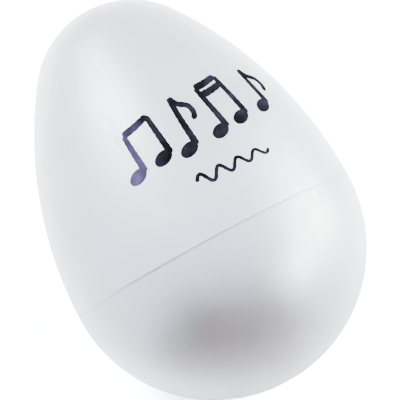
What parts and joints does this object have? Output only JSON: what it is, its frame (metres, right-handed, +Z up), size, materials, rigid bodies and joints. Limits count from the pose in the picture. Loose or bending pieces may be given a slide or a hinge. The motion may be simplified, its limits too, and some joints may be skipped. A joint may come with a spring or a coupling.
{
  "type": "egg shaker",
  "caption": "Hand-held egg shaker: a frosted plastic shell in two halves, seamed at its widest section, holding loose steel shot.",
  "frame": {"origin": "centre of the bounding box, on the surface that the egg lies on", "axes": "+Z up; the egg's narrow end leans towards -X; +Y is across it"},
  "size_m": [0.0521, 0.041, 0.0476],
  "materials": {
    "frosted_plastic": "satin",
    "copper_washed_steel": "satin",
    "black_ink": "satin"
  },
  "bodies": {
    "shells": {"upper_shell": "frosted_plastic", "lower_shell": "frosted_plastic"},
    "shot_01": {"shot_01": "copper_washed_steel"},
    "shot_02": {"shot_02": "copper_washed_steel"},
    "shot_03": {"shot_03": "copper_washed_steel"},
    "shot_04": {"shot_04": "copper_washed_steel"},
    "shot_05": {"shot_05": "copper_washed_steel"},
    "shot_06": {"shot_06": "copper_washed_steel"},
    "shot_07": {"shot_07": "copper_washed_steel"},
    "shot_08": {"shot_08": "copper_washed_steel"},
    "shot_09": {"shot_09": "copper_washed_steel"},
    "shot_10": {"shot_10": "copper_washed_steel"},
    "shot_11": {"shot_11": "copper_washed_steel"},
    "shot_12": {"shot_12": "copper_washed_steel"},
    "shot_13": {"shot_13": "copper_washed_steel"},
    "shot_14": {"shot_14": "copper_washed_steel"},
    "shot_15": {"shot_15": "copper_washed_steel"},
    "shot_16": {"shot_16": "copper_washed_steel"},
    "shot_17": {"shot_17": "copper_washed_steel"},
    "shot_18": {"shot_18": "copper_washed_steel"},
    "shot_19": {"shot_19": "copper_washed_steel"},
    "shot_20": {"shot_20": "copper_washed_steel"}
  },
  "joints": [
    {"name": "shot_swirl", "type": "hinge", "parent": "shells", "child": "shot_01", "pos_m": [0.00558, 0, 0.02034], "axis": [-0.7939, 0, 0.6081], "continuous": true},
    {"name": "shot_throw", "type": "slide", "parent": "shot_01", "child": "shot_14", "axis": [-0.342, 0, 0.9397], "range_m": [0, 0.0425]},
    {"name": "throw_02", "type": "slide", "parent": "shot_01", "child": "shot_02", "axis": [-0.342, 0, 0.9397], "range_m": [0, 0.0373]},
    {"name": "throw_03", "type": "slide", "parent": "shot_01", "child": "shot_03", "axis": [-0.342, 0, 0.9397], "range_m": [0, 0.0373]},
    {"name": "throw_04", "type": "slide", "parent": "shot_01", "child": "shot_04", "axis": [-0.342, 0, 0.9397], "range_m": [0, 0.04052]},
    {"name": "throw_05", "type": "slide", "parent": "shot_01", "child": "shot_05", "axis": [-0.342, 0, 0.9397], "range_m": [0, 0.03732]},
    {"name": "throw_06", "type": "slide", "parent": "shot_01", "child": "shot_06", "axis": [-0.342, 0, 0.9397], "range_m": [0, 0.03732]},
    {"name": "throw_07", "type": "slide", "parent": "shot_01", "child": "shot_07", "axis": [-0.342, 0, 0.9397], "range_m": [0, 0.03612]},
    {"name": "throw_08", "type": "slide", "parent": "shot_01", "child": "shot_08", "axis": [-0.342, 0, 0.9397], "range_m": [0, 0.04141]},
    {"name": "throw_09", "type": "slide", "parent": "shot_01", "child": "shot_09", "axis": [-0.342, 0, 0.9397], "range_m": [0, 0.04141]},
    {"name": "throw_10", "type": "slide", "parent": "shot_01", "child": "shot_10", "axis": [-0.342, 0, 0.9397], "range_m": [0, 0.03511]},
    {"name": "throw_11", "type": "slide", "parent": "shot_01", "child": "shot_11", "axis": [-0.342, 0, 0.9397], "range_m": [0, 0.03511]},
    {"name": "throw_12", "type": "slide", "parent": "shot_01", "child": "shot_12", "axis": [-0.342, 0, 0.9397], "range_m": [0, 0.03163]},
    {"name": "throw_13", "type": "slide", "parent": "shot_01", "child": "shot_13", "axis": [-0.342, 0, 0.9397], "range_m": [0, 0.03163]},
    {"name": "throw_15", "type": "slide", "parent": "shot_01", "child": "shot_15", "axis": [-0.342, 0, 0.9397], "range_m": [0, 0.03685]},
    {"name": "throw_16", "type": "slide", "parent": "shot_01", "child": "shot_16", "axis": [-0.342, 0, 0.9397], "range_m": [0, 0.03685]},
    {"name": "throw_17", "type": "slide", "parent": "shot_01", "child": "shot_17", "axis": [-0.342, 0, 0.9397], "range_m": [0, 0.03065]},
    {"name": "throw_18", "type": "slide", "parent": "shot_01", "child": "shot_18", "axis": [-0.342, 0, 0.9397], "range_m": [0, 0.03065]},
    {"name": "throw_19", "type": "slide", "parent": "shot_01", "child": "shot_19", "axis": [-0.342, 0, 0.9397], "range_m": [0, 0.02905]},
    {"name": "throw_20", "type": "slide", "parent": "shot_01", "child": "shot_20", "axis": [-0.342, 0, 0.9397], "range_m": [0, 0.0373]}
  ],
  "couplings": [
    {"joint": "throw_02", "follows": "shot_throw", "ratio": 0.87731},
    {"joint": "throw_03", "follows": "shot_throw", "ratio": 0.87731},
    {"joint": "throw_04", "follows": "shot_throw", "ratio": 0.95299},
    {"joint": "throw_05", "follows": "shot_throw", "ratio": 0.87772},
    {"joint": "throw_06", "follows": "shot_throw", "ratio": 0.87772},
    {"joint": "throw_07", "follows": "shot_throw", "ratio": 0.84944},
    {"joint": "throw_08", "follows": "shot_throw", "ratio": 0.97386},
    {"joint": "throw_09", "follows": "shot_throw", "ratio": 0.97386},
    {"joint": "throw_10", "follows": "shot_throw", "ratio": 0.82571},
    {"joint": "throw_11", "follows": "shot_throw", "ratio": 0.82571},
    {"joint": "throw_12", "follows": "shot_throw", "ratio": 0.74386},
    {"joint": "throw_13", "follows": "shot_throw", "ratio": 0.74386},
    {"joint": "throw_15", "follows": "shot_throw", "ratio": 0.86668},
    {"joint": "throw_16", "follows": "shot_throw", "ratio": 0.86668},
    {"joint": "throw_17", "follows": "shot_throw", "ratio": 0.72065},
    {"joint": "throw_18", "follows": "shot_throw", "ratio": 0.72065},
    {"joint": "throw_19", "follows": "shot_throw", "ratio": 0.68318},
    {"joint": "throw_20", "follows": "shot_throw", "ratio": 0.8773}
  ]
}
